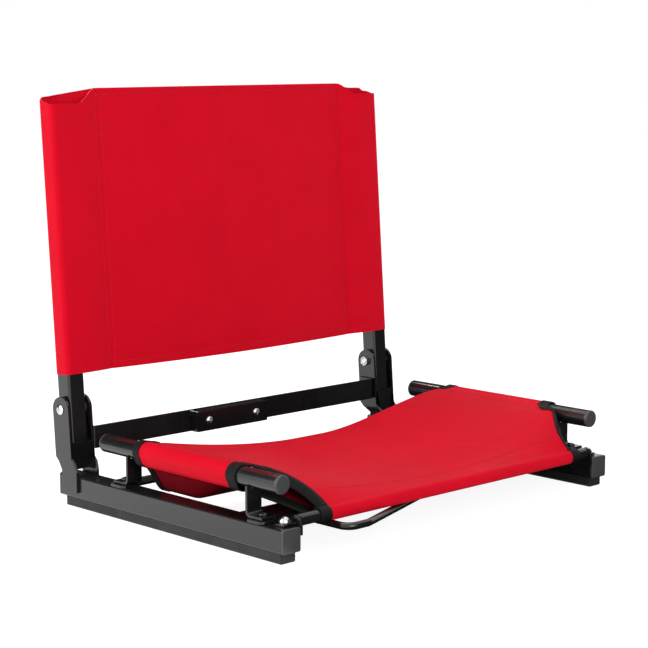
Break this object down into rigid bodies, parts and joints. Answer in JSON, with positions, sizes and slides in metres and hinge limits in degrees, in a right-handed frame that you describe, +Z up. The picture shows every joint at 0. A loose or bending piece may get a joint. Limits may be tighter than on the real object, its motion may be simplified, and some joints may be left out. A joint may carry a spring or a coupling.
{
  "type": "stadium seat",
  "caption": "Folding stadium seat: square steel rails on rubber strips, cloth sling seat, cloth back on folding uprights, and a wire hook for the bench edge.",
  "frame": {"origin": "on the floor, in the middle of the part's width and depth", "axes": "+X across to the right as seen from the front, +Y backwards, +Z up"},
  "size_m": [0.5242, 0.4184, 0.4635],
  "materials": {
    "black_paint": "gloss black powder coat",
    "black_plastic": "black moulded plastic",
    "rubber": "matt black rubber",
    "zinc": "bright zinc plate",
    "red_fabric": "red woven polyester"
  },
  "bodies": {
    "frame": {"right_rail": "black_paint", "left_rail": "black_paint", "right_rail_front_plug": "black_plastic", "left_rail_front_plug": "black_plastic", "right_rail_rear_plug": "black_plastic", "left_rail_rear_plug": "black_plastic", "right_foot_strip": "rubber", "left_foot_strip": "rubber", "right_seat_tube": "black_paint", "left_seat_tube": "black_paint", "right_tube_front_cap": "black_plastic", "left_tube_front_cap": "black_plastic", "right_tube_rear_cap": "black_plastic", "left_tube_rear_cap": "black_plastic", "right_rear_strap": "black_paint", "left_rear_strap": "black_paint", "right_front_strap": "black_paint", "left_front_strap": "black_paint", "right_front_strap_bolt": "black_paint", "left_front_strap_bolt": "black_paint", "right_rear_strap_bolt": "black_paint", "left_rear_strap_bolt": "black_paint", "right_corner_plate": "black_paint", "left_corner_plate": "black_paint", "right_dome_bolt": "zinc", "left_dome_bolt": "zinc", "right_bracket": "black_paint", "left_bracket": "black_paint", "right_pivot_bolt": "zinc", "left_pivot_bolt": "zinc", "right_pivot_nut": "zinc", "left_pivot_nut": "zinc", "right_outer_washer": "black_plastic", "left_outer_washer": "black_plastic", "right_inner_washer": "black_plastic", "left_inner_washer": "black_plastic", "front_flat_bar": "black_paint", "rear_flat_bar": "black_paint", "front_cross_tube": "black_paint", "right_cross_bar": "black_paint", "left_cross_bar": "black_paint", "splice_channel": "black_paint", "left_splice_screw": "zinc", "right_splice_screw": "zinc", "hook_bar": "black_paint", "left_hook_clip": "black_paint", "right_hook_clip": "black_paint", "seat_sling": "red_fabric"},
    "backrest": {"right_upright": "black_paint", "left_upright": "black_paint", "right_upright_top_plug": "black_plastic", "left_upright_top_plug": "black_plastic", "back_panel": "red_fabric"},
    "hook": {"bench_hook": "black_paint"}
  },
  "joints": [
    {"name": "backrest_fold", "type": "hinge", "parent": "frame", "child": "backrest", "pos_m": [0, 0.1714, 0.1085], "axis": [1, 0, 0], "range_deg": [0, 94]},
    {"name": "hook_swing", "type": "hinge", "parent": "frame", "child": "hook", "pos_m": [0, -0.1152, 0.02825], "axis": [1, 0, 0], "range_deg": [0, 90]}
  ]
}
